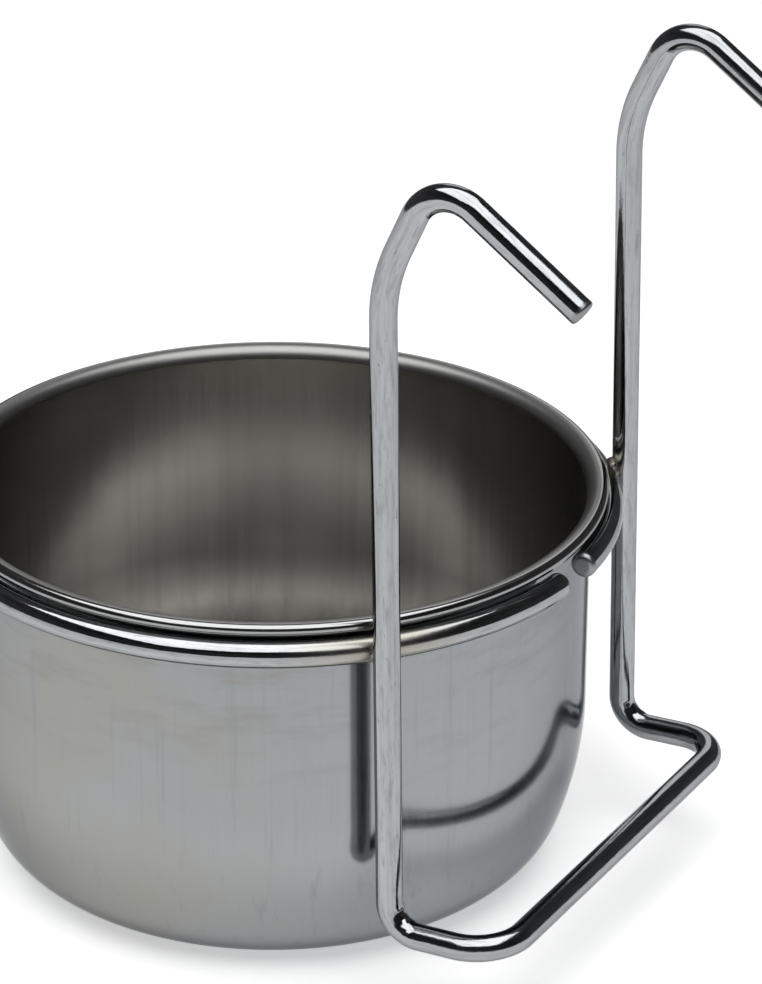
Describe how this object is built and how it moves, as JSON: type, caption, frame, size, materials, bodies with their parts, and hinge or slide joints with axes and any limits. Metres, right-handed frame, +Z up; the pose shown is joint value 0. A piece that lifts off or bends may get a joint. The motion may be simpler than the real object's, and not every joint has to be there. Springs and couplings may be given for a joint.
{
  "type": "hanging seed cup",
  "caption": "Round deep-drawn steel seed cup with a rolled rim, standing loose in an open wire ring; a bent wire hanger with hooks and a stand-off loop hangs it on cage bars.",
  "frame": {"origin": "middle of the cup's flat base, on its underside", "axes": "+Z up along the cup's axis, +Y from the cup towards the cage bars it hangs on, +X to the left hook as seen from the bars"},
  "size_m": [0.094, 0.1104, 0.1159],
  "materials": {
    "cup_steel": "satin",
    "bright_wire": "bright"
  },
  "bodies": {
    "holder": {"hanger": "bright_wire", "holder_ring": "bright_wire", "left_weld": "bright_wire", "right_weld": "bright_wire"},
    "cup": {"cup": "cup_steel"}
  },
  "joints": [
    {"name": "cup_lift", "type": "slide", "parent": "holder", "child": "cup", "axis": [0, 0, 1], "range_m": [0, 0.06]}
  ]
}
